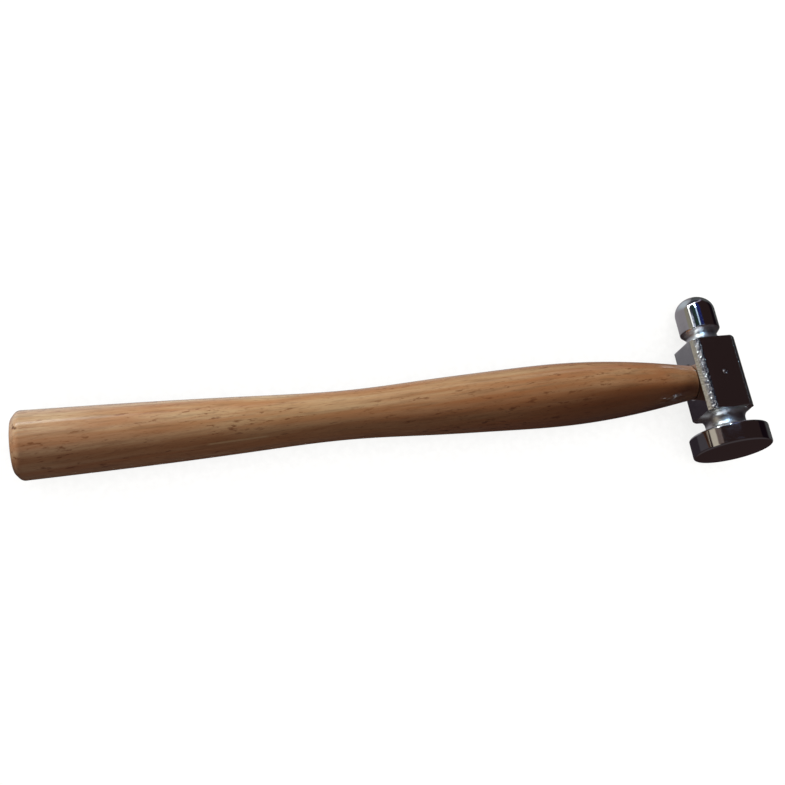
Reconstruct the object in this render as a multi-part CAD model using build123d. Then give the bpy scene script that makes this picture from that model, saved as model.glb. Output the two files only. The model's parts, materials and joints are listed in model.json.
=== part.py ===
from build123d import *
import os

# Ball peen hammer of the small chasing kind: a polished one-piece steel head on a turned wooden
# handle, held by wedges in the eye and by a pin through the cheeks.
# Millimetres. The origin is the centre of the striking face. +Y runs up the head's axis to the
# ball peen, the handle runs out along -X, and +Z comes out of the upper cheek.

# Head, measured along +Y from the striking face
face_radius = 14.0
disc_height = 7.2
disc_edge_round = 0.7
block_bottom = 14.2
block_top = 41.2
shoulder_height = 46.6
dome_start = 54.1
head_length = 60.4

# Head, radii of the turned stretches and widths of the square block
lower_neck_radius = 7.2
lower_cove_radius = 3.3
upper_neck_radius = 5.6
upper_cove_radius = 3.3
upper_neck_land = 0.2
peen_radius = 7.3
block_width = 18.2
corner_chamfer = 3.0
corner_crown = 0.22
face_crown = 0.06

# Eye: an oval right through the block, tightest in the middle and flared at both mouths.
# Each size is its length along Y and its width along Z.
eye_height = 27.3
eye_waist = (11.0, 8.2)
eye_mouth = (11.8, 9.0)
eye_far_mouth = (12.6, 10.4)
fit_gap = 0.03

# Handle, measured along X from the head's axis: (distance, radius) from the butt to the block
butt_reach = 243.5
butt_chamfer_length = 2.1
butt_chamfer_depth = 2.6
handle_stations = [
    (butt_reach - butt_chamfer_length, 11.18),
    (205.0, 10.45),
    (168.0, 9.25),
    (136.0, 8.4),
    (108.0, 9.6),
    (84.0, 10.58),
    (60.0, 11.18),
    (27.0, 8.85),
    (10.2, 6.4),
]
shoulder_chamfer = 0.8

# Wedges and pin; a wedge's thickness is given at its tip and at its driven end
wood_wedge_depth = 7.4
wood_wedge_width = 9.6
wood_wedge_thickness = (0.7, 2.3)
steel_wedge_depth = 6.2
steel_wedge_width = 6.4
steel_wedge_thickness = (0.35, 1.3)
steel_wedge_turn = 52.0
pin_radius = 0.85
pin_dome = 0.5
pin_dimple_radius = 1.0

half_width = block_width / 2
spare = 1.0  # how far a cutting solid reaches past what it cuts
overlap = 0.01  # how deep two joined solids reach into each other
quarter_oval = 0.5523  # tangent length of a cubic curve that follows a quarter of an oval
head_axis = Axis.Y
handle_axis = Axis((0, eye_height, 0), (1, 0, 0))


def turned_profile():
    """Half outline of the head as it comes off the lathe, in the XY plane, before its flats are ground."""
    stock = face_radius
    low_cove = lower_neck_radius + lower_cove_radius
    top_cove = upper_neck_radius + upper_cove_radius
    bend = lower_cove_radius * (1 - 2**-0.5)
    top_bend = upper_cove_radius * (1 - 2**-0.5)
    face_edge = disc_edge_round * (1 - 2**-0.5)
    cone_start = block_top + upper_cove_radius + upper_neck_land
    outline = Polyline((0, 0), (stock - disc_edge_round, 0))
    outline += ThreePointArc(
        (stock - disc_edge_round, 0), (stock - face_edge, face_edge), (stock, disc_edge_round)
    )
    outline += Line((stock, disc_edge_round), (stock, disc_height - disc_edge_round))
    outline += ThreePointArc(
        (stock, disc_height - disc_edge_round),
        (stock - face_edge, disc_height - face_edge),
        (stock - disc_edge_round, disc_height),
    )
    outline += Line((stock - disc_edge_round, disc_height), (low_cove, disc_height))
    outline += ThreePointArc(
        (low_cove, disc_height),
        (lower_neck_radius + bend, disc_height + bend),
        (lower_neck_radius, disc_height + lower_cove_radius),
    )
    outline += Line(
        (lower_neck_radius, disc_height + lower_cove_radius),
        (lower_neck_radius, block_bottom - lower_cove_radius),
    )
    outline += ThreePointArc(
        (lower_neck_radius, block_bottom - lower_cove_radius),
        (lower_neck_radius + bend, block_bottom - bend),
        (low_cove, block_bottom),
    )
    outline += Polyline(
        (low_cove, block_bottom), (stock, block_bottom), (stock, block_top), (top_cove, block_top)
    )
    outline += ThreePointArc(
        (top_cove, block_top),
        (upper_neck_radius + top_bend, block_top + top_bend),
        (upper_neck_radius, block_top + upper_cove_radius),
    )
    outline += Polyline(
        (upper_neck_radius, block_top + upper_cove_radius),
        (upper_neck_radius, cone_start),
        (peen_radius, shoulder_height),
        (peen_radius, dome_start),
    )
    outline += Bezier(
        (peen_radius, dome_start),
        (peen_radius, dome_start + quarter_oval * (head_length - dome_start)),
        (peen_radius * quarter_oval, head_length),
        (0, head_length),
    )
    outline += Line((0, head_length), (0, 0))
    return outline


def block_section():
    """Square with chamfered corners; every side is crowned a little, as a hand-ground one is."""
    flat = half_width - corner_chamfer
    diagonal = (half_width + flat) / 2 + corner_crown / 2**0.5
    outline = Curve()
    for quarter in range(4):
        turn = Rot(0, 0, 90 * quarter)
        outline += turn * ThreePointArc(
            (half_width, -flat), (half_width + face_crown, 0), (half_width, flat)
        )
        outline += turn * ThreePointArc(
            (half_width, flat), (diagonal, diagonal), (flat, half_width)
        )
    return make_face(outline)


def outer_head():
    """The turned blank with its middle ground square."""
    turned = revolve(make_face(turned_profile()), head_axis)
    low_cut = (disc_height + block_bottom) / 2
    high_cut = block_top + upper_cove_radius + upper_neck_land / 2
    section = Plane.XZ * block_section()
    square = Pos(0, low_cut, 0) * extrude(section, -(high_cut - low_cut))
    span = 2 * (face_radius + spare)
    low_end = Pos(0, low_cut - span / 2, 0) * Box(span, span, span)
    high_end = Pos(0, high_cut + span / 2, 0) * Box(span, span, span)
    return (turned & square) + (turned & low_end) + (turned & high_end)


def oval_plug(grow):
    """The eye's inside as a solid along X, with its two tapers meeting at the waist."""

    def ring(x, size):
        return Plane((x, eye_height, 0), x_dir=(0, 1, 0), z_dir=(1, 0, 0)) * Ellipse(
            size[0] / 2 + grow, size[1] / 2 + grow
        )

    reach = half_width + spare
    near = loft([ring(-reach, eye_mouth), ring(0, eye_waist)])
    far = loft([ring(0, eye_waist), ring(reach, eye_far_mouth)])
    return near + far


def pin_rod(radius, length):
    return Pos(0, eye_height, 0) * Cylinder(radius, length)


def hammer_head(blank):
    """The steel head, pierced by the eye and the pin hole, with a dimple at each end of the hole."""
    head = blank - oval_plug(fit_gap) - pin_rod(pin_radius + fit_gap, block_width + 2 * spare)
    dimple_depth = pin_dimple_radius - pin_radius
    for side in (1, -1):
        mouth = Pos(0, eye_height, side * (half_width + face_crown - dimple_depth / 2))
        wide, narrow = pin_dimple_radius, pin_radius + fit_gap
        radii = (narrow, wide) if side > 0 else (wide, narrow)
        head -= mouth * Cone(radii[0], radii[1], dimple_depth)
    return head


def turned_handle():
    """The grip: butt, waist, swell and throat on one smooth curve, revolved about the handle's axis."""
    stations = [(-x, eye_height + r) for x, r in handle_stations]
    butt_edge = (-butt_reach, eye_height + handle_stations[0][1] - butt_chamfer_depth)
    throat_end = (stations[-1][0] + shoulder_chamfer, stations[-1][1] - shoulder_chamfer)
    outline = Polyline((-butt_reach, eye_height), butt_edge, stations[0])
    outline += Spline(stations)
    outline += Line(stations[-1], throat_end)
    inside_block = -half_width + spare
    outline += Polyline(
        throat_end,
        (inside_block, throat_end[1]),
        (inside_block, eye_height),
        (-butt_reach, eye_height),
    )
    return revolve(make_face(outline), handle_axis)


def driven_wedge(depth, width, thickness, turn):
    """A wedge along X in the tenon's end, its width along Y before it is turned about the handle's axis."""
    thin, thick = thickness
    start = half_width + face_crown - depth
    end = start + depth + spare
    tip = thin / 2
    head_end = (thick + (thick - thin) / depth * spare) / 2
    side = Polyline((start, -tip), (end, -head_end), (end, head_end), (start, tip), close=True)
    wedge = extrude(Plane.XZ * make_face(side), width / 2, both=True)
    return Pos(0, eye_height, 0) * Rot(turn, 0, 0) * wedge


def cross_pin():
    """Soft steel pin through both cheeks and the tenon, its ends peened to low domes."""
    reach = half_width + face_crown - pin_dimple_radius + pin_radius
    dome = scale(Sphere(pin_radius), (1, 1, pin_dome / pin_radius))
    ends = [Pos(0, eye_height, side * (reach - overlap)) * dome for side in (1, -1)]
    return pin_rod(pin_radius, 2 * reach) + ends


blank = outer_head()
head = hammer_head(blank)
pin = cross_pin()
steel = driven_wedge(steel_wedge_depth, steel_wedge_width, steel_wedge_thickness, steel_wedge_turn) & blank
wood = driven_wedge(wood_wedge_depth, wood_wedge_width, wood_wedge_thickness, 0) & blank
wood -= steel
tenon = oval_plug(0) & blank
pin_hole = pin_rod(pin_radius, block_width + 2 * spare)
handle = (turned_handle() - blank) + tenon - wood - steel - pin_hole

os.makedirs("parts", exist_ok=True)
for name, solid in {
    "hammer_head": head,
    "handle": handle,
    "wood_wedge": wood,
    "steel_wedge": steel,
    "cross_pin": pin,
}.items():
    export_step(solid, f"parts/{name}.step")
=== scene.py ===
import json
import math

import bmesh
import bpy
import numpy as np
from mathutils import Matrix, Vector, noise

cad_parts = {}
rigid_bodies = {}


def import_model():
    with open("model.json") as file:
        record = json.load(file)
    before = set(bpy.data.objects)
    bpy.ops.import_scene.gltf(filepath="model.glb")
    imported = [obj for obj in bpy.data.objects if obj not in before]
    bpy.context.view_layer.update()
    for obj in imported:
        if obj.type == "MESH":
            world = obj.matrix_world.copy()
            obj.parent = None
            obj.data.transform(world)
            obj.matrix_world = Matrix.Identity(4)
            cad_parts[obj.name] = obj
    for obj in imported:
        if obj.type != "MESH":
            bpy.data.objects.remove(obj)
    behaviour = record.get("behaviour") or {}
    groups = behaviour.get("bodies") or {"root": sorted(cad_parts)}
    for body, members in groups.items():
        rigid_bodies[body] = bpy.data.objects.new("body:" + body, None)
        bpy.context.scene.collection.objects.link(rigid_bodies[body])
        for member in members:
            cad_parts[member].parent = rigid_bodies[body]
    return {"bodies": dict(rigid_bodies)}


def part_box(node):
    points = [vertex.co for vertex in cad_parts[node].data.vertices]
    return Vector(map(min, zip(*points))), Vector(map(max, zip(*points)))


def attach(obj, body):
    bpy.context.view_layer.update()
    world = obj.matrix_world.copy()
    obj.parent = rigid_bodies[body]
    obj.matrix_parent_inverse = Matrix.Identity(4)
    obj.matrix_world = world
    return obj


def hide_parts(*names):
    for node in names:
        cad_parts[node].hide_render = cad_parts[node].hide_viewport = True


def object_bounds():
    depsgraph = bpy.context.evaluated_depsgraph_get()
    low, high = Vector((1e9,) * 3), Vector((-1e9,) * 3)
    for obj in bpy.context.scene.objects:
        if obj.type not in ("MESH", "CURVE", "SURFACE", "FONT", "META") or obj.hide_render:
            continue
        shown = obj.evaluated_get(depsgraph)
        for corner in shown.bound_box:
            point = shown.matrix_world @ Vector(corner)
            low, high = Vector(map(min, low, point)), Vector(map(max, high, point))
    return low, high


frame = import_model()
cad_low, cad_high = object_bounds()
body_name = list(frame["bodies"])[0]

# ---- Sizes ----
# Lengths in the mesh code are millimetres; meshes are scaled to metres when they are made.
# +Y is the head's axis from the striking face to the peen, the handle runs along -X, +Z is up.
METRE = 1000.0


def node_box(node):
    """Lowest and highest corner of a CAD node in millimetres."""
    low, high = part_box(node)
    return np.array(low) * METRE, np.array(high) * METRE


head_high = node_box("hammer_head")[1]
handle_low, handle_high = node_box("handle")
pin_low, pin_high = node_box("cross_pin")
wood_wedge_low = node_box("wood_wedge")[0]
steel_wedge_low = node_box("steel_wedge")[0]

# Head, along Y from the striking face
face_radius = head_high[0]
head_length = head_high[1]
disc_height = 7.2
disc_edge = 0.7
block_bottom = 14.2
block_top = 41.2
shoulder_height = 46.6
dome_start = 54.1

# Head, radii of the turned stretches and the square block
lower_neck = 7.2
lower_cove = 3.3
upper_neck = 5.6
upper_cove = 3.3
peen_radius = 7.3
peen_edge = 0.45
face_crown = 0.06
half_width = handle_high[0] - face_crown
corner_reach = 10.97  # from the axis to a ground corner
corner_cut = 3.0  # how much of each side a ground corner takes
block_edge = 0.16
corner_edge = 0.22

# Eye and pin hole; an oval's half sizes go along Z and along Y
eye_height = (pin_low[1] + pin_high[1]) / 2
eye_near = (4.5, 5.9)
eye_waist = (4.1, 5.5)
eye_far = (5.2, 6.3)
eye_gap = 0.05
mouth_edge = 0.25
pin_radius = pin_high[0]
pin_gap = 0.03
pin_dome = 0.5
dimple_radius = 1.0
dimple_depth = 0.15

# Wedges; a thickness is given at the tip and at the driven end
wood_wedge_width = 9.6
wood_wedge_thickness = (0.7, 2.3)
wood_wedge_sunk = 0.03
steel_wedge_width = 6.4
steel_wedge_thickness = (0.35, 1.3)
steel_wedge_sunk = 0.06
steel_wedge_turn = 52.0
slot_gap = 0.05
slot_overrun = 1.0

# Handle: (distance from the head's axis, radius), from the butt to the block
butt_reach = -handle_low[0]
butt_radius = 11.18
butt_chamfer = (2.1, 2.6)
grip_stations = [
    (butt_reach - butt_chamfer[0], butt_radius),
    (205.0, 10.45),
    (168.0, 9.25),
    (136.0, 8.4),
    (108.0, 9.6),
    (84.0, 10.58),
    (60.0, 11.18),
    (27.0, 8.85),
    (10.2, 6.4),
]
butt_round = (2.2, 2.6)  # of the chamfer's edge at the end and at the side
shoulder_round = 0.35
grip_end = half_width + face_crown + 0.02  # just clear of the block

# Marks of use on the handle, by distance from the butt and bearing from +Y towards +Z in degrees
butt_nicks = [(1.7, 76.0), (2.5, 79.0)]
nick_sunk = 0.6  # inside the butt's full radius
nick_edge = (0.35, 0.75)  # from its middle
scratch_reach = (59.0, 80.0)
scratch_bearings = (141.0, 138.0)
scratch_edge = (1.0, 2.6)  # in degrees
scratch_fade = 2.0

# Where the wood's tone changes, and where painted shade darkens the throat's underside, by X along the
# handle
greyed_wood = (-243.0, -165.0)
reddened_wood = (-150.0, -20.0)
throat_shade_reach = (-88.0, -34.0)

# How near two points of a mesh lie before they are made one, in metres
same_point = 1e-7
same_cut_point = 3e-6
shortest_cut_edge = 1e-6


# ---- Mesh helpers ----
def link_mesh(name, mesh, material):
    """A new object in the scene for a mesh, with its material."""
    made = bpy.data.objects.new(name, mesh)
    bpy.context.scene.collection.objects.link(made)
    mesh.materials.append(material)
    return made


class MeshBuilder:
    """Collects vertices and quads in millimetres and makes one object in metres from them."""

    def __init__(self):
        self.points = []
        self.faces = []
        self.count = 0

    def add_ring(self, points):
        """Adds a row of points and returns their numbers."""
        numbers = np.arange(self.count, self.count + len(points))
        self.points.append(np.asarray(points, float))
        self.count += len(points)
        return numbers

    def bridge(self, ring, other):
        """Quads between two closed rings of the same length."""
        following = np.roll(ring, -1)
        other_following = np.roll(other, -1)
        self.faces += np.stack([ring, following, other_following, other], 1).tolist()

    def cap(self, ring, centre):
        """Closes a ring with triangles that meet at one point."""
        middle = int(self.add_ring([centre])[0])
        following = np.roll(ring, -1)
        self.faces += [[int(a), int(b), middle] for a, b in zip(ring, following)]

    def join(self, rings):
        """Bridges each ring to the next."""
        for near, far in zip(rings, rings[1:]):
            self.bridge(near, far)

    def make(self, name, material, wobble=None):
        """The finished object, each point moved along its normal by what wobble says."""
        mesh = bpy.data.meshes.new(name)
        mesh.from_pydata((np.concatenate(self.points) / METRE).tolist(), [], self.faces)
        shape = bmesh.new()
        shape.from_mesh(mesh)
        bmesh.ops.remove_doubles(shape, verts=shape.verts, dist=same_point)
        bmesh.ops.recalc_face_normals(shape, faces=shape.faces)
        shape.normal_update()
        if wobble:
            for vertex in shape.verts:
                vertex.co += vertex.normal * (wobble(vertex.co * METRE) / METRE)
        for face in shape.faces:
            face.smooth = True
        shape.to_mesh(mesh)
        shape.free()
        return link_mesh(name, mesh, material)


def arc(centre, radius, start, end, steps):
    """Points on a circle from one angle to another, in degrees, both ends included."""
    angles = np.radians(np.linspace(start, end, steps + 1))
    return [(centre[0] + radius * math.cos(a), centre[1] + radius * math.sin(a)) for a in angles]


def spaced(start, end, steps, margin):
    """Even steps from start to end, with one more point a margin inside each end."""
    inner = np.linspace(start + margin, end - margin, steps + 1)
    return [start, *inner.tolist(), end]


def smooth_curve(knots, values, places):
    """Natural cubic spline through the knots, read at the given places."""
    gaps = np.diff(knots)
    slopes = np.diff(values) / gaps
    count = len(knots)
    system = np.eye(count)
    right = np.zeros(count)
    for i in range(1, count - 1):
        system[i, i - 1 : i + 2] = gaps[i - 1], 2 * (gaps[i - 1] + gaps[i]), gaps[i]
        right[i] = 6 * (slopes[i] - slopes[i - 1])
    bends = np.linalg.solve(system, right)
    span = np.clip(np.searchsorted(knots, places) - 1, 0, count - 2)
    gap = gaps[span]
    left = (np.asarray(knots)[span + 1] - places) / gap
    ahead = 1 - left
    chord = left * np.asarray(values)[span] + ahead * np.asarray(values)[span + 1]
    curve = (left**3 - left) * bends[span] + (ahead**3 - ahead) * bends[span + 1]
    return chord + curve * gap**2 / 6


def cut_away(body, cutters):
    """Boolean difference, applied to the body's mesh, with the slivers that it leaves merged."""
    for cutter in cutters:
        step = body.modifiers.new("cut", "BOOLEAN")
        step.operation = "DIFFERENCE"
        step.solver = "EXACT"
        step.object = cutter
    graph = bpy.context.evaluated_depsgraph_get()
    result = bpy.data.meshes.new_from_object(body.evaluated_get(graph))
    shape = bmesh.new()
    shape.from_mesh(result)
    bmesh.ops.remove_doubles(shape, verts=shape.verts, dist=same_cut_point)
    bmesh.ops.dissolve_degenerate(shape, edges=shape.edges, dist=shortest_cut_edge)
    bmesh.ops.triangulate(shape, faces=[face for face in shape.faces if len(face.verts) > 4])
    shape.to_mesh(result)
    shape.free()
    body.modifiers.clear()
    old = body.data
    body.data = result
    bpy.data.meshes.remove(old)


# ---- Node helpers ----
class Nodes:
    """Short calls that build a node tree."""

    def __init__(self, tree):
        self.tree = tree
        tree.nodes.clear()

    def add(self, kind, inputs=None, **settings):
        node = self.tree.nodes.new(kind)
        for key, value in settings.items():
            setattr(node, key, value)
        for key, value in (inputs or {}).items():
            self.put(node.inputs[key], value)
        return node

    def put(self, socket, value):
        if isinstance(value, bpy.types.NodeSocket):
            self.tree.links.new(value, socket)
        elif socket.type == "RGBA" and len(value) == 3:
            socket.default_value = (*value, 1.0)
        else:
            socket.default_value = value

    def math(self, operation, *values, clamp=False):
        node = self.add("ShaderNodeMath", operation=operation, use_clamp=clamp)
        for socket, value in zip(node.inputs, values):
            self.put(socket, value)
        return node.outputs[0]

    def vector(self, operation, first, second=None, scale=None):
        node = self.add("ShaderNodeVectorMath", operation=operation)
        self.put(node.inputs[0], first)
        if second is not None:
            self.put(node.inputs[1], second)
        if scale is not None:
            self.put(node.inputs["Scale"], scale)
        return node.outputs["Value"] if operation == "LENGTH" else node.outputs[0]

    def split(self, vector):
        return self.add("ShaderNodeSeparateXYZ", {0: vector}).outputs

    def ramp(self, value, low, high, to_low=0.0, to_high=1.0, smooth=True):
        inputs = {"Value": value, "From Min": low, "From Max": high, "To Min": to_low, "To Max": to_high}
        kind = "SMOOTHSTEP" if smooth else "LINEAR"
        return self.add("ShaderNodeMapRange", inputs, interpolation_type=kind).outputs["Result"]

    def within(self, value, rise, fall):
        """1 between two soft edges, each given by where it starts and where it ends."""
        return self.math("MULTIPLY", self.ramp(value, *rise), self.ramp(value, *fall, 1.0, 0.0))

    def mix(self, factor, first, second, blend="MIX"):
        node = self.add("ShaderNodeMix", data_type="RGBA", blend_type=blend)
        self.put(node.inputs["Factor"], factor)
        self.put(node.inputs["A"], first)
        self.put(node.inputs["B"], second)
        return node.outputs["Result"]

    def mix_shader(self, factor, first, second):
        return self.add("ShaderNodeMixShader", {0: factor, 1: first, 2: second}).outputs[0]

    def stretch(self, coordinates, scale, shift=(0.0, 0.0, 0.0)):
        inputs = {"Vector": coordinates, "Scale": scale, "Location": shift}
        return self.add("ShaderNodeMapping", inputs).outputs[0]

    def turned(self, coordinates, turn):
        return self.add("ShaderNodeMapping", {"Vector": coordinates, "Rotation": turn}).outputs[0]

    def noise(self, coordinates, scale=1.0, detail=2.0, roughness=0.5):
        inputs = {"Vector": coordinates, "Scale": scale, "Detail": detail, "Roughness": roughness}
        return self.add("ShaderNodeTexNoise", inputs, noise_dimensions="3D").outputs["Fac"]

    def bump(self, height, strength, distance, normal=None):
        node = self.add("ShaderNodeBump", {"Height": height, "Strength": strength, "Distance": distance})
        if normal is not None:
            self.put(node.inputs["Normal"], normal)
        return node.outputs[0]


def new_material(name):
    """A material with its principled shader and millimetre object coordinates ready."""
    material = bpy.data.materials.new(name)
    material.use_nodes = True
    nodes = Nodes(material.node_tree)
    shader = nodes.add("ShaderNodeBsdfPrincipled")
    nodes.add("ShaderNodeOutputMaterial", {"Surface": shader.outputs[0]})
    place = nodes.add("ShaderNodeTexCoord").outputs["Object"]
    return material, nodes, shader, nodes.vector("SCALE", place, scale=METRE)


def colour(red, green, blue):
    """Linear colour from the usual 0 to 255 screen values."""

    def linear(value):
        value /= 255
        return value / 12.92 if value <= 0.04045 else ((value + 0.055) / 1.055) ** 2.4

    return (linear(red), linear(green), linear(blue))


def darker(tone, share):
    """A tone at a share of its strength."""
    return tuple(share * c for c in tone)


# ---- Materials ----
steel_tint = (0.66, 0.645, 0.64)
pit_tint = (0.10, 0.11, 0.15)
grey_tint = (0.86, 0.92, 1.06)


def hairlines(nodes, place):
    """Fine wipe scratches in two directions."""
    hairs = []
    for turn in ((0.3, 0.2, 0.9), (-0.7, 0.8, 0.2)):
        along = nodes.stretch(nodes.turned(place, turn), (0.12, 5.0, 5.0))
        hairs.append(nodes.ramp(nodes.noise(along, detail=1.0), 0.72, 0.80))
    return nodes.math("MAXIMUM", *hairs)


def satin_necks(nodes, y):
    """The two necks, which are turned and not polished."""
    low = nodes.within(y, (disc_height - 0.2, disc_height + 0.3), (block_bottom - 0.5, block_bottom))
    high_end = (shoulder_height - 0.6, shoulder_height + 0.3)
    high = nodes.within(y, (block_top - 0.1, block_top + 0.4), high_end)
    return nodes.math("ADD", low, high, clamp=True)


def ground_corners(nodes, place):
    """The block's four ground corners, and the pits in them, which thin out away from the cheeks."""
    x, y, z = nodes.split(place)
    out, up = nodes.math("ABSOLUTE", x), nodes.math("ABSOLUTE", z)
    start = half_width - corner_cut
    corner = nodes.ramp(nodes.math("MINIMUM", out, up), start - 0.1, start + 0.2)
    block = nodes.within(y, (block_bottom - 0.1, block_bottom + 0.2), (block_top - 0.2, block_top + 0.1))
    corner = nodes.math("MULTIPLY", corner, block)
    by_cheek = nodes.ramp(nodes.math("SUBTRACT", up, out), -1.3, 0.8)
    pits = nodes.ramp(nodes.noise(nodes.stretch(place, (1.5, 2.0, 1.5)), detail=2.0), 0.42, 0.54)
    return corner, nodes.math("MULTIPLY", pits, nodes.math("MULTIPLY", corner, by_cheek))


def polished_steel():
    """Polished steel: faint wipe marks and hairlines, satin necks and rough-ground corners."""
    material, nodes, shader, place = new_material("polished_steel")
    haze = nodes.ramp(nodes.noise(place, scale=0.16, detail=3.0, roughness=0.6), 0.35, 0.7)
    scratches = hairlines(nodes, place)
    satin = satin_necks(nodes, nodes.split(place)[1])
    corner, pits = ground_corners(nodes, place)
    ripple = nodes.noise(place, scale=0.35, detail=1.0)
    turning = nodes.noise(nodes.stretch(place, (0.15, 3.0, 0.15)), detail=2.0)
    grinding = nodes.noise(nodes.stretch(place, (0.9, 1.5, 0.9)), detail=2.0, roughness=0.6)
    shader.inputs["Metallic"].default_value = 1.0
    dull = nodes.mix(nodes.math("MULTIPLY", scratches, 0.5), steel_tint, darker(steel_tint, 0.8))
    dull = nodes.mix(nodes.math("MULTIPLY", pits, 0.75), dull, pit_tint)
    nodes.put(shader.inputs["Base Color"], dull)
    rough = nodes.math("MULTIPLY_ADD", haze, 0.04, 0.05)
    rough = nodes.math("MULTIPLY_ADD", scratches, 0.05, rough)
    rough = nodes.math("MULTIPLY_ADD", satin, 0.29, rough)
    nodes.put(shader.inputs["Roughness"], rough)
    normal = nodes.bump(ripple, 0.22, 0.00006)
    normal = nodes.bump(nodes.math("MULTIPLY", turning, satin), 0.25, 0.00005, normal)
    normal = nodes.bump(nodes.math("MULTIPLY", grinding, corner), 1.0, 0.00012, normal)
    nodes.put(shader.inputs["Normal"], normal)
    return material


def plain_steel(name, tint, base_roughness):
    """Soft steel that was filed or peened and then wiped bright."""
    material, nodes, shader, place = new_material(name)
    file_marks = nodes.noise(nodes.stretch(place, (9.0, 1.2, 9.0)), detail=2.0)
    patches = nodes.noise(place, scale=1.1, detail=3.0, roughness=0.65)
    shader.inputs["Metallic"].default_value = 1.0
    stain = nodes.mix(nodes.ramp(patches, 0.45, 0.75), tint, darker(tint, 0.62))
    nodes.put(shader.inputs["Base Color"], stain)
    rough = nodes.math("MULTIPLY_ADD", file_marks, 0.15, base_roughness)
    nodes.put(shader.inputs["Roughness"], rough)
    nodes.put(shader.inputs["Normal"], nodes.bump(file_marks, 0.4, 0.00004))
    return material


def nicks_mask(nodes, place):
    """Mask of two small dark nicks side by side on the rounding of the butt."""
    masks = []
    radius = butt_radius - nick_sunk
    for inset, bearing in butt_nicks:
        turn = math.radians(bearing)
        nick = (inset - butt_reach, eye_height + radius * math.cos(turn), radius * math.sin(turn))
        away = nodes.vector("LENGTH", nodes.vector("SUBTRACT", place, nick))
        masks.append(nodes.ramp(away, *nick_edge, 1.0, 0.0))
    return nodes.math("MAXIMUM", *masks)


def scratch_mask(nodes, place):
    """Mask of a fine light scratch in the lacquer, between the butt and the waist."""
    x, y, z = nodes.split(place)
    start, end = (reach - butt_reach for reach in scratch_reach)
    first, last = scratch_bearings
    bearing = nodes.math("DEGREES", nodes.math("ARCTAN2", z, nodes.math("SUBTRACT", y, eye_height)))
    path = nodes.ramp(x, start, end, first, last, smooth=False)
    away = nodes.math("ABSOLUTE", nodes.math("SUBTRACT", bearing, path))
    line = nodes.ramp(away, *scratch_edge, 1.0, 0.0)
    ends = nodes.within(x, (start, start + scratch_fade), (end - scratch_fade, end))
    return nodes.math("MULTIPLY", line, ends)


def beech_streaks(nodes, place, grain, fibre, pale, deep, red):
    """Long soft streaks of three tones, redder towards the head."""
    streak = nodes.noise(nodes.stretch(grain, (0.018, 0.42, 0.42)), detail=3.0, roughness=0.55)
    thin_streak = nodes.noise(nodes.stretch(grain, (0.05, 0.8, 0.8), shift=(8.0, 2.0, 3.0)), detail=2.0)
    band = nodes.noise(nodes.stretch(grain, (0.008, 0.16, 0.16), shift=(3.0, 1.0, 4.0)), detail=2.0)
    blotch = nodes.noise(nodes.stretch(grain, (0.05, 0.12, 0.12)), detail=2.0)
    by_head = nodes.ramp(nodes.split(place)[0], *reddened_wood, 0.0, 0.5, smooth=False)
    reddening = nodes.math("ADD", nodes.ramp(band, 0.35, 0.70, 0.0, 0.45), by_head, clamp=True)
    tone = nodes.mix(nodes.ramp(streak, 0.34, 0.66), pale, deep)
    tone = nodes.mix(reddening, tone, red)
    tone = nodes.mix(nodes.ramp(blotch, 0.3, 0.7, 0.0, 0.15), tone, darker(red, 0.7))
    tone = nodes.mix(nodes.ramp(thin_streak, 0.48, 0.74, 0.0, 0.5), tone, darker(deep, 0.5))
    return nodes.mix(nodes.ramp(fibre, 0.4, 0.8, 0.0, 0.35), tone, darker(deep, 0.6))


def beech_flecks(nodes, grain):
    """Masks of the dark flecks, which gather in rows, and of the small ones all over."""
    rows = nodes.noise(nodes.stretch(grain, (0.02, 0.3, 0.3), shift=(1.0, 6.0, 2.0)))
    flecks = nodes.noise(nodes.stretch(grain, (0.24, 0.95, 0.95)), detail=3.0, roughness=0.6)
    small = nodes.noise(nodes.stretch(grain, (0.40, 2.6, 2.6), shift=(5.0, 2.0, 1.0)), detail=1.0)
    flecks = nodes.math("MULTIPLY", nodes.ramp(flecks, 0.56, 0.69), nodes.ramp(rows, 0.38, 0.54))
    return flecks, nodes.ramp(small, 0.58, 0.76)


def shade_and_grey_butt(nodes, place, tone, red):
    """Painted shade: redder on the side towards the striking face and darker there at the throat; also
    greyer at the butt.
    """
    along, up = nodes.split(place)[:2]
    # painted shade on the side towards the striking face: redder all along, darker near the throat
    below = nodes.ramp(nodes.math("SUBTRACT", eye_height, up), 0.5, 4.2)
    tone = nodes.mix(nodes.math("MULTIPLY", below, 0.28), tone, red)
    throat_shade = nodes.math("MULTIPLY", below, nodes.ramp(along, *throat_shade_reach, 0.0, 0.55))
    tone = nodes.mix(throat_shade, tone, darker(red, 0.34))
    greyed = nodes.ramp(along, *greyed_wood, 0.85, 0.0, smooth=False)
    return nodes.mix(greyed, tone, grey_tint, blend="MULTIPLY")


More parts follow.
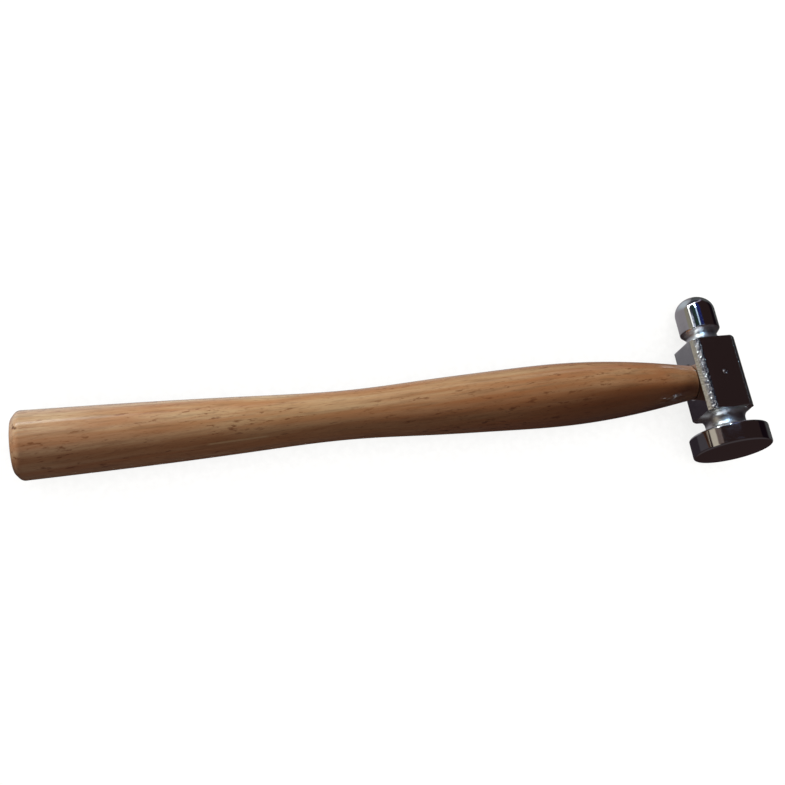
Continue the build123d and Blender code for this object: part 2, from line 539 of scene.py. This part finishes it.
def beech(name, pale, deep, red, coat):
    """Beech with its streaks, fibres, flecks and marks of use, the grain a little off the axis."""
    material, nodes, shader, place = new_material(name)
    grain = nodes.turned(place, (0.0, math.radians(1.5), math.radians(-2.5)))
    fibre = nodes.noise(nodes.stretch(grain, (0.22, 4.2, 4.2)), detail=2.0, roughness=0.6)
    fleck, small = beech_flecks(nodes, grain)
    tone = beech_streaks(nodes, place, grain, fibre, pale, deep, red)
    tone = shade_and_grey_butt(nodes, place, tone, red)
    for mask, strength, over in (
        (small, 0.35, darker(red, 0.5)),
        (fleck, 0.72, darker(red, 0.40)),
        (nicks_mask(nodes, place), 0.85, darker(red, 0.2)),
        (scratch_mask(nodes, place), 0.8, pale),
    ):
        tone = nodes.mix(nodes.math("MULTIPLY", mask, strength), tone, over)
    nodes.put(shader.inputs["Base Color"], tone)
    nodes.put(shader.inputs["Roughness"], nodes.ramp(fibre, 0.2, 0.8, 0.42, 0.58))
    pores = nodes.math("ADD", fleck, nodes.math("MULTIPLY", small, 0.6))
    height = nodes.math("SUBTRACT", nodes.math("MULTIPLY", fibre, 0.5), pores)
    nodes.put(shader.inputs["Normal"], nodes.bump(height, 0.25, 0.00004))
    nodes.put(shader.inputs["Coat Normal"], nodes.bump(height, 0.06, 0.00003))
    shader.inputs["Specular IOR Level"].default_value = 0.3
    shader.inputs["Coat Weight"].default_value = coat
    shader.inputs["Coat Roughness"].default_value = 0.14
    return material


# ---- Head ----
def direction(angle):
    """Unit vector at an angle in radians."""
    return np.array([math.cos(angle), math.sin(angle)])


def flat_axes(quarter):
    """The way that one of the block's four flats faces, and the way across it."""
    turn = math.radians(90 * quarter)
    out = np.array([math.cos(turn), 0.0, math.sin(turn)])
    side = np.array([-math.sin(turn), 0.0, math.cos(turn)])
    return out, side


def block_outline():
    """Points round the square block's section, (x, z), with the numbers of each flat's columns."""
    corner_angle = math.degrees(math.acos(half_width / corner_reach))
    flat_end = corner_reach * math.sin(math.radians(corner_angle))
    turn_back = corner_edge * math.tan(math.radians(corner_angle) / 2)
    flat_half = flat_end - turn_back
    points, flats = [], []
    for quarter in range(4):
        turn = math.radians(90 * quarter)
        out = direction(turn)
        side = np.array([-out[1], out[0]])
        first = len(points)
        for t in spaced(-flat_half, flat_half, 26, 0.3):
            points.append(out * (half_width + face_crown * (1 - (t / flat_end) ** 2)) + side * t)
        flats.append((first + 1, len(points) - 2))
        centre = out * (half_width - corner_edge) + side * flat_half
        for step in range(1, 5):
            bend = turn + math.radians(corner_angle) * step / 4
            points.append(centre + corner_edge * direction(bend))
        spread = corner_angle + math.degrees(turn_back / corner_reach)
        for angle in spaced(spread, 90 - spread, 12, 1.0):
            bend = turn + math.radians(angle)
            points.append(corner_reach * direction(bend))
        bend_start = 90 - corner_angle
        centre = side * (half_width - corner_edge) + out * flat_half
        for step in range(0, 4):
            bend = turn + math.radians(bend_start + corner_angle * step / 4)
            points.append(centre + corner_edge * direction(bend))
    return np.array(points), flats


def shoulder(reach, neck, cove, end, away):
    """Rows from a neck out over its cove to the block's side, one (radius, height) pair per column.

    The cove's centre lies a cove radius before the block's end plane, which is at height end; away
    is 1 where the block is above the neck and -1 where it is below.
    """
    centre = neck + cove
    leave = np.arccos(np.clip((centre - reach) / cove, 0.0, 1.0))
    back = block_edge * np.tan(leave / 2)
    corner_height = cove * (np.sin(leave) - 1.0)
    start = reach - back * np.sin(leave)
    last = np.arccos(np.clip((centre - start) / cove, 0.0, 1.0))
    flat = np.maximum(start - centre, 0.0)
    cove_rows, edge_rows = 14, 4
    rows = []
    for share in np.linspace(0, 1, cove_rows + 1)[1:]:
        run = share * (cove * last + flat)
        angle = np.minimum(run / cove, last)
        radius = centre - cove * np.cos(angle) + np.maximum(run - cove * last, 0.0)
        rows.append((radius, end + away * cove * (np.sin(angle) - 1.0)))
    for step in range(1, edge_rows + 1):
        bend = -leave * (1 - step / edge_rows)
        radius = reach - block_edge + block_edge * np.cos(bend)
        rows.append((radius, end + away * (corner_height + back + block_edge * np.sin(bend))))
    return rows


def turned_rows(outline, columns):
    """Rows that are plain circles, for each point of an outline."""
    return [(np.full(columns, r), np.full(columns, y)) for r, y in outline]


def disc_outline():
    """The striking disc, from near the face's centre out over its rim to the lower neck."""
    rim = face_radius - disc_edge
    centre = lower_neck + lower_cove
    outline = [(r, 0.0) for r in np.linspace(0.8, rim - 0.25, 16)]
    outline += arc((rim, disc_edge), disc_edge, -90, 0, 10)
    outline += [(face_radius, y) for y in spaced(disc_edge, disc_height - disc_edge, 8, 0.15)[1:-1]]
    outline += arc((rim, disc_height - disc_edge), disc_edge, 0, 90, 10)
    outline += [(r, disc_height) for r in (rim - 0.2, (rim + centre) / 2, centre + 0.2)]
    outline += arc((centre, disc_height + lower_cove), lower_cove, 270, 180, 16)
    outline.append((lower_neck, block_bottom - lower_cove))
    return outline


def peen_outline():
    """From the upper neck out over the cone to the peen's side and up over its dome."""
    neck_end = block_top + upper_cove
    rise = math.atan2(peen_radius - upper_neck, shoulder_height - neck_end - 0.2)
    back = peen_edge * math.tan(rise / 2)
    turn = math.degrees(rise)
    outline = [(upper_neck, neck_end), (upper_neck + 0.02, neck_end + 0.25)]
    start = np.array([upper_neck, neck_end + 0.2])
    end = np.array([peen_radius, shoulder_height])
    length = np.linalg.norm(end - start)
    for share in np.linspace(0.15, 1 - (back + 0.1) / length, 5):
        outline.append(tuple(start + (end - start) * share))
    centre = (peen_radius - peen_edge, shoulder_height + back)
    outline += arc(centre, peen_edge, -turn, 0, 6)
    outline += [(peen_radius, y) for y in np.linspace(centre[1] + 0.15, dome_start, 12)]
    dome = head_length - dome_start
    for angle in np.radians(np.linspace(0, 88, 34))[1:]:
        outline.append((peen_radius * math.cos(angle), dome_start + dome * math.sin(angle)))
    return outline


def ground_wobble(place):
    """Inward waviness that hand grinding and polishing leave, in millimetres."""
    slow = noise.noise(place * 0.16)
    quick = noise.noise(place * 0.45 + Vector((7.0, 3.0, 5.0)))
    return -0.012 * (1.0 + slow) - 0.003 * (1.0 + quick)


def hole_ring(quarter, size, depth, angles):
    """A ring of an oval hole in one of the block's four flats."""
    out, side = flat_axes(quarter)
    ring = []
    for angle in angles:
        t = size[0] * math.cos(angle)
        reach = half_width + face_crown * (1 - min(abs(t) / half_width, 1.0) ** 2) - depth
        up = np.array([0.0, eye_height + size[1] * math.sin(angle), 0.0])
        ring.append(out * reach + side * t + up)
    return np.array(ring)


def eye_rings(quarter, mouth, angles):
    """The eye's bore from a flat's surface in to its waist on the head's axis plane."""
    size = [mouth[0] + eye_gap, mouth[1] + eye_gap]
    rings = []
    for step in range(5):
        bend = math.radians(22.5 * step)
        grow = mouth_edge * (1 - math.sin(bend))
        sunk = mouth_edge * (1 - math.cos(bend))
        rings.append(hole_ring(quarter, (size[0] + grow, size[1] + grow), sunk, angles))
    for share in np.linspace(0.1, 1.0, 7):
        at = [(1 - share) * size[k] + share * (eye_waist[k] + eye_gap) for k in range(2)]
        ring = hole_ring(quarter, at, 0.0, angles)
        ring[:, 0] = math.copysign(1.0, ring[0, 0]) * (half_width - mouth_edge) * (1 - share)
        rings.append(ring)
    return rings


def pin_rings(quarter, angles):
    """The countersunk dimple and the start of the pin's hole."""
    bore = pin_radius + pin_gap
    stages = [(dimple_radius + 0.04, 0.0), (dimple_radius, 0.01), (dimple_radius - 0.03, 0.04)]
    for share in np.linspace(0.25, 1, 4):
        stages.append((dimple_radius + (bore - dimple_radius) * share, dimple_depth * share))
    stages += [(bore, dimple_depth + 0.1), (bore, dimple_depth + 1.2)]
    return [hole_ring(quarter, (radius, radius), depth, angles) for radius, depth in stages]


def head_rows(reach):
    """Every row of the head from the face to the peen, and which rows end the block's straight side."""
    columns = len(reach)
    low = shoulder(reach, lower_neck, lower_cove, block_bottom, 1)
    high = shoulder(reach, upper_neck, upper_cove, block_top, -1)
    rows = turned_rows(disc_outline(), columns) + low
    first_side = len(rows)
    shares = np.array(spaced(0.0, 1.0, 44, 0.012))[1:-1]
    rows += [(reach, (1 - s) * low[-1][1] + s * high[-1][1]) for s in shares]
    last_side = len(rows) - 1
    rows += high[::-1]
    rows += turned_rows(peen_outline(), columns)
    return rows, (first_side, last_side)


def window_edge(grid, side_rows, flat):
    """The vertices round the part of a flat that its hole is let into."""
    bottom, top = side_rows
    first, last = flat
    edge = [grid[bottom, column] for column in range(first, last)]
    edge += [grid[row, last] for row in range(bottom, top)]
    edge += [grid[top, column] for column in range(last, first, -1)]
    edge += [grid[row, first] for row in range(top, bottom, -1)]
    return np.array(edge)


def pierce_flat(builder, quarter, edge):
    """The face of a flat from its window's edge to its hole, and then the hole itself."""
    out, side = flat_axes(quarter)
    places = np.concatenate(builder.points)[edge]
    across = places @ side
    up = places[:, 1] - eye_height
    angles = np.arctan2(up, across)
    has_eye = quarter % 2 == 0
    if has_eye:
        rings = eye_rings(quarter, eye_far if quarter == 0 else eye_near, angles)
    else:
        rings = pin_rings(quarter, angles)
    hole_across = rings[0] @ side
    hole_up = rings[0][:, 1] - eye_height
    rows = [edge]
    for share in np.linspace(0, 1, 9)[1:-1] ** 0.8:
        t = (1 - share) * across + share * hole_across
        crown = half_width + face_crown * (1 - (t / half_width) ** 2)
        points = out * crown[:, None] + side * t[:, None]
        points[:, 1] = eye_height + (1 - share) * up + share * hole_up
        rows.append(builder.add_ring(points))
    rows += [builder.add_ring(points) for points in rings]
    builder.join(rows)
    if not has_eye:
        builder.cap(rows[-1], rings[-1].mean(0))


def build_head(material):
    """The whole head as one mesh: rings round its axis, with the holes let into the flats."""
    outline, flats = block_outline()
    reach = np.hypot(outline[:, 0], outline[:, 1])
    outward = outline / reach[:, None]
    rows, side_rows = head_rows(reach)
    builder = MeshBuilder()
    grid = []
    for radius, height in rows:
        ring = np.column_stack([outward[:, 0] * radius, height, outward[:, 1] * radius])
        grid.append(builder.add_ring(ring))
    grid = np.array(grid)
    builder.cap(grid[0], (0.0, 0.0, 0.0))
    builder.cap(grid[-1], (0.0, head_length, 0.0))
    pierced = np.zeros((len(grid) - 1, len(outline)), bool)
    for first, last in flats:
        pierced[slice(*side_rows), first:last] = True
    for row in range(len(grid) - 1):
        near, far = grid[row], grid[row + 1]
        quads = np.stack([near, np.roll(near, -1), np.roll(far, -1), far], 1)
        builder.faces += quads[~pierced[row]].tolist()
    for quarter, flat in enumerate(flats):
        pierce_flat(builder, quarter, window_edge(grid, side_rows, flat))
    return builder.make("head", material, ground_wobble)


# ---- Handle, wedges and pin ----
def handle_outline():
    """(distance along -X from the head's axis, radius) from near the butt's centre to the shoulder."""
    side = butt_reach - butt_chamfer[0]
    slant = math.degrees(math.atan2(butt_chamfer[0], butt_chamfer[1]))
    end_back = butt_round[0] * math.tan(math.radians(slant / 2))
    side_back = butt_round[1] * math.tan(math.radians((90 - slant) / 2))
    end_centre = (butt_reach - butt_round[0], butt_radius - butt_chamfer[1] - end_back)
    side_centre = (side - side_back, butt_radius - butt_round[1])
    outline = [(butt_reach, r) for r in np.linspace(0.6, end_centre[1] - 0.3, 10)]
    outline += arc(end_centre, butt_round[0], 0, slant, 6)
    outline += arc(side_centre, butt_round[1], slant, 90, 8)
    knots = np.array([-d for d, r in grip_stations])
    radii = np.array([r for d, r in grip_stations])
    places = np.linspace(-side_centre[0] + 0.3, -(grip_end + shoulder_round + 0.1), 260)
    for place, radius in zip(places, smooth_curve(knots, radii, places)):
        outline.append((-place, radius))
    centre = (grip_end + shoulder_round, outline[-1][1] - shoulder_round)
    outline += arc(centre, shoulder_round, 90, 180, 6)
    return outline


def handle_wobble(place):
    """Faint unevenness left by turning and sanding by hand, in millimetres."""
    if place.x > -half_width:
        return 0.0
    slow = noise.noise(Vector((place.x * 0.03, place.y * 0.08, place.z * 0.08)))
    return -0.05 * (1.0 + slow)


def handle_ring(x, half_up, half_out):
    """An oval ring about the handle's axis."""
    around = np.radians(np.arange(0, 360, 3.0))
    up = eye_height + half_up * np.cos(around)
    return np.column_stack([np.full(len(around), x), up, half_out * np.sin(around)])


def tenon_sections():
    """(x, half sizes) of the tenon from just inside the eye to its sanded end."""
    sections = []
    for x in np.linspace(-half_width + 0.3, half_width - 0.35, 14):
        share = abs(x) / half_width
        mouth = eye_far if x > 0 else eye_near
        sections.append((x, [(1 - share) * eye_waist[k] + share * mouth[k] - 0.01 for k in range(2)]))
    end = handle_high[0]
    for x, shrink in ((end - 0.12, 0.02), (end - 0.03, 0.08), (end - 0.01, 0.25)):
        sections.append((x, [eye_far[k] - shrink for k in range(2)]))
    for scale in (0.8, 0.6, 0.4, 0.2):
        sections.append((end - 0.01, [eye_far[k] * scale for k in range(2)]))
    return sections


def build_handle(material):
    """Grip and tenon as one row of rings from the butt to the tenon's end."""
    builder = MeshBuilder()
    rings = [handle_ring(-distance, radius, radius) for distance, radius in handle_outline()]
    rings += [handle_ring(x, size[1], size[0]) for x, size in tenon_sections()]
    numbers = [builder.add_ring(ring) for ring in rings]
    builder.join(numbers)
    builder.cap(numbers[0], (-butt_reach, eye_height, 0.0))
    builder.cap(numbers[-1], (handle_high[0] - 0.01, eye_height, 0.0))
    return builder.make("turned_handle", material, handle_wobble)


def rounded_box(half_wide, half_thick, radius):
    """Points round a rectangle with rounded corners, its long sides divided into short stretches."""
    points = []
    for corner, (wide, thick) in enumerate(((1, 1), (-1, 1), (-1, -1), (1, -1))):
        centre = (wide * (half_wide - radius), thick * (half_thick - radius))
        points += arc(centre, radius, 90 * corner, 90 * corner + 90, 4)
        if wide == thick:
            for across in np.linspace(centre[0], -centre[0], 14)[1:-1]:
                points.append((across, thick * half_thick))
    return points


def driven_wobble(place):
    """Unevenness that the hammer leaves on a wedge's driven end, in millimetres."""
    if place.x < half_width - 1.0:
        return 0.0
    return -0.02 * (1.0 + noise.noise(place * 1.3))


def wedge_mesh(name, material, depth, width, thickness, turn, proud=0.0, grow=0.0):
    """A wedge along X with rounded edges, its driven end proud of the tenon's end by so much."""
    thin, thick = thickness
    end = handle_high[0] + proud
    start = handle_high[0] - depth - grow
    edge = thin / 4
    angle = math.radians(turn)
    rows = [(start, 0.0, 1.0)]
    rows += [(x, 0.0, 1.0) for x in np.linspace(start, end - edge, 10)[1:]]
    for bend in np.radians((30, 60, 90)):
        rows.append((end - edge * (1 - math.sin(bend)), edge * (1 - math.cos(bend)), 1.0))
    rows += [(end, edge, scale) for scale in (0.97, 0.8, 0.6, 0.4, 0.2)]
    builder = MeshBuilder()
    rings = []
    for x, shrink, scale in rows:
        share = (x - start) / (end - start)
        half_thick = (thin + (thick - thin) * share) / 2 + grow - shrink
        half_wide = width / 2 + grow - shrink
        ring = []
        for across, through in rounded_box(half_wide, half_thick, edge):
            up = scale * (across * math.cos(angle) - through * math.sin(angle))
            out = scale * (across * math.sin(angle) + through * math.cos(angle))
            ring.append((x, eye_height + up, out))
        rings.append(builder.add_ring(ring))
    builder.join(rings)
    builder.cap(rings[0], (start, eye_height, 0.0))
    builder.cap(rings[-1], (end, eye_height, 0.0))
    return builder.make(name, material, driven_wobble)


def build_pin(material):
    """A rod with both ends peened to low domes."""
    builder = MeshBuilder()
    around = np.radians(np.arange(0, 360, 7.5))
    reach = pin_high[2]
    outline = []
    for angle in np.radians(np.linspace(80, 0, 9)):
        outline.append((pin_radius * math.cos(angle), reach - pin_dome + pin_dome * math.sin(angle)))
    outline += [(radius, -z) for radius, z in outline[::-1]]
    rings = []
    for radius, z in outline:
        up = eye_height + radius * np.sin(around)
        ring = np.column_stack([radius * np.cos(around), up, np.full(len(around), z)])
        rings.append(builder.add_ring(ring))
    builder.join(rings)
    builder.cap(rings[0], (0.0, eye_height, reach))
    builder.cap(rings[-1], (0.0, eye_height, -reach))
    return builder.make("peened_pin", material)


def build_wedges(handle):
    """Both wedges, and the slots for them in the tenon and, for the steel one, in the wooden one."""
    wood = beech(
        "wedge_wood",
        pale=colour(150, 104, 66),
        deep=colour(120, 78, 46),
        red=colour(96, 60, 36),
        coat=0.15,
    )
    steel = plain_steel("wedge_steel", (0.42, 0.41, 0.40), 0.28)
    wood_shape = dict(
        depth=handle_high[0] - wood_wedge_low[0],
        width=wood_wedge_width,
        thickness=wood_wedge_thickness,
        turn=0.0,
    )
    steel_shape = dict(
        depth=handle_high[0] - steel_wedge_low[0],
        width=steel_wedge_width,
        thickness=steel_wedge_thickness,
        turn=steel_wedge_turn,
    )
    wood_wedge = wedge_mesh("oak_wedge", wood, proud=-wood_wedge_sunk, **wood_shape)
    steel_wedge = wedge_mesh("iron_wedge", steel, proud=-steel_wedge_sunk, **steel_shape)
    wood_slot = wedge_mesh("wood_slot", wood, proud=slot_overrun, grow=slot_gap, **wood_shape)
    steel_slot = wedge_mesh("steel_slot", wood, proud=slot_overrun, grow=slot_gap, **steel_shape)
    cut_away(handle, [wood_slot, steel_slot])
    cut_away(wood_wedge, [steel_slot])
    for cutter in (wood_slot, steel_slot):
        bpy.data.objects.remove(cutter)
    return wood_wedge, steel_wedge


def keep(piece, node):
    """Makes a finished piece ride on the hammer's one body in place of its CAD node."""
    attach(piece, body_name)
    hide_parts(node)


handle_wood = beech(
    "lacquered_beech",
    pale=colour(202, 176, 136),
    deep=colour(184, 144, 103),
    red=colour(166, 102, 60),
    coat=1.0,
)
head = build_head(polished_steel())
handle = build_handle(handle_wood)
wood_wedge, steel_wedge = build_wedges(handle)
pin = build_pin(plain_steel("pin_steel", (0.72, 0.71, 0.69), 0.06))
keep(head, "hammer_head")
keep(handle, "handle")
keep(wood_wedge, "wood_wedge")
keep(steel_wedge, "steel_wedge")
keep(pin, "cross_pin")


# ---- Room: what the polished steel mirrors, the light on the wood, and the floor ----
def seen(red, green, blue, gain=1.0):
    """Radiance that the head's steel shows as this screen colour."""
    return tuple(gain * c / s for c, s in zip(colour(red, green, blue), steel_tint))


# Soft-edged patches of the room: bearing from +Z round towards -X, height above the XZ plane
# towards +Y, how soft each edge is, how fast the bottom and top edges sink with bearing, colour.
level = (0.0, 0.0)
bare_wall = seen(36, 26, 26)
room_patches = {
    "ceiling": ((-70, 310), (64, 100), (5, 6), level, seen(92, 94, 104)),
    "dim ceiling edge": ((-70, 44), (62, 84), (8, 5), level, seen(48, 50, 54)),
    "left wall": ((66, 215), (16.3, 100), (3, 1.0), level, seen(124, 120, 124)),
    "foot of left wall": ((100, 215), (16.3, 18.8), (6, 0.8), level, seen(98, 96, 100)),
    "lit part of left wall": ((80, 190), (44, 82), (14, 16), level, seen(160, 168, 174)),
    "far wall": ((215, 277), (19.0, 100), (12, 1.5), level, seen(72, 74, 74)),
    "wall beside window": ((59, 86), (17.0, 42), (2, 1), level, seen(121, 117, 105)),
    "garden": ((-6, 64), (19.0, 64), (3, 0.6), (0.0, 0.18), seen(40, 46, 56)),
    "hedge": ((24, 36), (19.0, 50), (2, 0.6), level, seen(24, 44, 30)),
    "dusk pane": ((-7, 10), (19.0, 58), (3, 0.6), level, seen(22, 30, 84)),
    "sky strip": ((13, 19), (19.0, 50), (1.5, 0.6), level, seen(196, 222, 246)),
    "sash": ((53, 60), (19.0, 54), (2, 0.6), level, seen(255, 255, 250, 1.3)),
    "window head": ((2, 64), (56, 64), (8, 3), (0.18, 0.18), seen(246, 248, 255, 3.2)),
    "lintel": ((-70, 0), (59, 64), (6, 2), level, seen(150, 142, 160)),
    "lintel behind": ((262, 310), (58, 63), (8, 2), level, seen(120, 112, 130)),
    "sill": ((-8, 34), (15.6, 17.8), (4, 0.5), level, seen(150, 166, 200)),
    "sill end": ((43, 57), (15.6, 19.3), (2, 0.5), level, seen(206, 216, 236)),
    "card": ((62, 83), (-30, 16.3), (2, 0.8), level, seen(168, 160, 146)),
    "card corner": ((49, 65), (5, 16.0), (2.5, 1), level, seen(92, 80, 76)),
    "table left": ((97, 262), (-10, 16.3), (5, 1.0), level, seen(40, 34, 39)),
    "near end of table": ((95, 132), (5, 16.3), (3, 1.0), level, seen(60, 56, 60)),
    "table end": ((225, 258), (-10, 15.0), (8, 1.0), level, seen(64, 64, 64)),
    "dark corner": ((218, 262), (14.8, 18.6), (4, 0.6), level, seen(22, 16, 18)),
    "shade": ((262, 294), (-20, 40), (6, 8), level, seen(16, 9, 14)),
    "floor below": ((-70, 310), (-100, -25), (5, 12), level, seen(58, 52, 54)),
}
bearing_seam = 70.0
fill_tint = (1.0, 0.72, 0.64)
fill_strength = 0.042
backdrop_strength = 1.05

# Lamps for the window's panes, and the floor, in metres; the gap under the disc is in millimetres
pane_distance = 0.45
floor_radius = 1.2
floor_gap = 0.3
floor_shadow_reach = 0.022
floor_tint = (1.0, 0.995, 0.985)

# Camera, in degrees, metres and the lens's millimetres; it aims a little off the hammer's middle
camera_azimuth = -33.602
camera_elevation = 66.543
camera_roll = 26.222
camera_distance = 0.3543
camera_lens = 47.473
camera_aim_shift = (-0.00497, 0.00367)


def paint_room(nodes):
    """The room as the head mirrors it, as a colour for every direction."""
    x, y, z = nodes.split(nodes.add("ShaderNodeTexCoord").outputs["Generated"])
    bearing = nodes.math("ARCTAN2", nodes.math("MULTIPLY", x, -1.0), z)
    bearing = nodes.math("DEGREES", bearing)
    bearing = nodes.math("FLOORED_MODULO", nodes.math("ADD", bearing, bearing_seam), 360.0)
    bearing = nodes.math("SUBTRACT", bearing, bearing_seam)
    height = nodes.math("DEGREES", nodes.math("ARCSINE", y))
    shown = bare_wall
    for bearings, heights, softness, sinks, tone in room_patches.values():
        left, right = bearings
        bottom, top = heights
        soft, soft_height = softness
        over = nodes.math("MULTIPLY_ADD", bearing, sinks[0], height)
        under = nodes.math("MULTIPLY_ADD", bearing, sinks[1], height)
        across = nodes.within(bearing, (left - soft, left + soft), (right - soft, right + soft))
        bottom_edge = nodes.ramp(over, bottom - soft_height, bottom + soft_height)
        top_edge = nodes.ramp(under, top - soft_height, top + soft_height, 1.0, 0.0)
        mask = nodes.math("MULTIPLY", across, nodes.math("MULTIPLY", bottom_edge, top_edge))
        shown = nodes.mix(mask, shown, tone)
    return shown


def build_world():
    """The mirrored room for reflections, a weak warm fill for the rest, and white for the camera."""
    world = bpy.data.worlds.new("studio")
    world.use_nodes = True
    bpy.context.scene.world = world
    nodes = Nodes(world.node_tree)
    path = nodes.add("ShaderNodeLightPath").outputs
    room = nodes.add("ShaderNodeBackground", {"Color": paint_room(nodes), "Strength": 1.0})
    fill = nodes.add("ShaderNodeBackground", {"Color": fill_tint, "Strength": fill_strength})
    backdrop = nodes.add("ShaderNodeBackground", {"Color": (1.0, 1.0, 1.0), "Strength": backdrop_strength})
    lit = nodes.mix_shader(path["Is Glossy Ray"], fill.outputs[0], room.outputs[0])
    shown = nodes.mix_shader(path["Is Camera Ray"], lit, backdrop.outputs[0])
    nodes.add("ShaderNodeOutputWorld", {"Surface": shown})


def floor_material():
    """Bright matt white with a contact shadow, clear from below and lit by nothing."""
    material = bpy.data.materials.new("floor")
    material.use_nodes = True
    nodes = Nodes(material.node_tree)
    open_sky = nodes.add("ShaderNodeAmbientOcclusion", {"Distance": floor_shadow_reach}, samples=8)
    grain = nodes.noise(nodes.add("ShaderNodeTexCoord").outputs["Object"], scale=400.0, detail=2.0)
    shadow = nodes.ramp(open_sky.outputs["AO"], 0.1, 0.8, 0.80, 1.0, smooth=False)
    brightness = nodes.math("MULTIPLY", shadow, nodes.ramp(grain, 0.3, 0.7, 1.02, 1.05))
    lit = nodes.add("ShaderNodeEmission", {"Color": floor_tint, "Strength": brightness})
    clear = nodes.add("ShaderNodeBsdfTransparent")
    back = nodes.add("ShaderNodeNewGeometry").outputs["Backfacing"]
    side = nodes.mix_shader(back, lit.outputs[0], clear.outputs[0])
    nodes.add("ShaderNodeOutputMaterial", {"Surface": side})
    return material


def build_floor():
    """Pale floor under the hammer, tilted as far as the disc's rim lifts the head off it."""
    tilt = math.atan((face_radius - peen_radius) / (dome_start - disc_height + disc_edge))
    contact = Vector((0.0, (disc_height - disc_edge) / METRE, -(face_radius + floor_gap) / METRE))
    shape = bmesh.new()
    bmesh.ops.create_circle(shape, cap_ends=True, segments=96, radius=floor_radius)
    mesh = bpy.data.meshes.new("floor")
    shape.to_mesh(mesh)
    shape.free()
    floor = link_mesh("floor", mesh, floor_material())
    floor.matrix_world = Matrix.Translation(contact) @ Matrix.Rotation(tilt, 4, "X")
    floor.visible_glossy = False
    floor.visible_diffuse = False
    floor.visible_shadow = False


def add_lamp(name, place, aim, size, power, tint, only=None):
    """A lamp with its long side towards +Y; given a piece, it lights and mirrors in that alone."""
    data = bpy.data.lights.new(name, "AREA")
    data.shape = "RECTANGLE"
    data.size, data.size_y = size
    data.energy = power
    data.color = tint
    lamp = bpy.data.objects.new(name, data)
    back = (Vector(place) - Vector(aim)).normalized()
    across = Vector((0.0, 1.0, 0.0)).cross(back).normalized()
    turned = Matrix((across, back.cross(across), back)).transposed().to_4x4()
    lamp.matrix_world = Matrix.Translation(place) @ turned
    lamp.visible_camera = False
    lamp.visible_glossy = only is not None
    bpy.context.scene.collection.objects.link(lamp)
    if only:
        lit = bpy.data.collections.new(name)
        lit.objects.link(only)
        lamp.light_linking.receiver_collection = lit


def towards(bearing, height, distance):
    """A place seen from the head at a bearing and height of the room."""
    turn, rise = math.radians(bearing), math.radians(height)
    out = Vector((-math.sin(turn) * math.cos(rise), math.sin(rise), math.cos(turn) * math.cos(rise)))
    return Vector((0.0, head_length / METRE / 2, 0.0)) + out * distance


def build_lights():
    """A key and a fill for the wood, two lamps behind, and the window's two panes on the head."""
    butt = Vector((cad_low.x, eye_height / METRE, 0.0))
    middle = (cad_low + cad_high) / 2
    head_middle = towards(0.0, 0.0, 0.0)
    lamps = [
        ("key", butt, (-0.24, 0.405, 0.345), middle, (0.22, 0.22), 5.2, (1.0, 0.985, 0.955)),
        ("fill", butt, (-0.132, -0.18, 0.204), middle, (0.18, 0.18), 0.20, (1.0, 0.76, 0.66)),
        ("under", middle, (0.0, 0.04, -0.45), middle, (0.3, 0.3), 2.4, (1.0, 0.96, 0.92)),
        ("beyond", head_middle, (0.5, 0.0, 0.04), head_middle, (0.3, 0.3), 3.0, (1.0, 0.97, 0.94)),
    ]
    for name, start, offset, aim, size, power, tint in lamps:
        add_lamp(name, start + Vector(offset), aim, size, power, tint)
    panes = [
        ("pane_left", towards(56, 43, pane_distance), (0.03, 0.14), 0.50, (0.80, 0.96, 1.0)),
        ("pane_right", towards(16, 37, pane_distance), (0.018, 0.15), 0.58, (0.46, 0.72, 1.0)),
    ]
    for name, place, size, power, tint in panes:
        add_lamp(name, place, head_middle, size, power, tint, head)


def build_camera():
    """Seen from above the cheek and a little below the head, turned in its own plane."""
    centre = (cad_low + cad_high) / 2
    aim = Vector((centre.x + camera_aim_shift[0], centre.y + camera_aim_shift[1], 0.0))
    azimuth, elevation = math.radians(camera_azimuth), math.radians(camera_elevation)
    level_out = math.cos(elevation)
    back = Vector((math.sin(azimuth) * level_out, -math.cos(azimuth) * level_out, math.sin(elevation)))
    data = bpy.data.cameras.new("camera")
    data.lens = camera_lens
    data.sensor_width = 36.0
    data.clip_start = 0.01
    camera = bpy.data.objects.new("camera", data)
    roll = Matrix.Rotation(math.radians(camera_roll), 4, "Z")
    turned = back.to_track_quat("Z", "Y").to_matrix().to_4x4() @ roll
    camera.matrix_world = Matrix.Translation(aim + back * camera_distance) @ turned
    bpy.context.scene.collection.objects.link(camera)
    bpy.context.scene.camera = camera


build_world()
build_floor()
build_lights()
build_camera()
bpy.context.scene.view_settings.view_transform = "Standard"
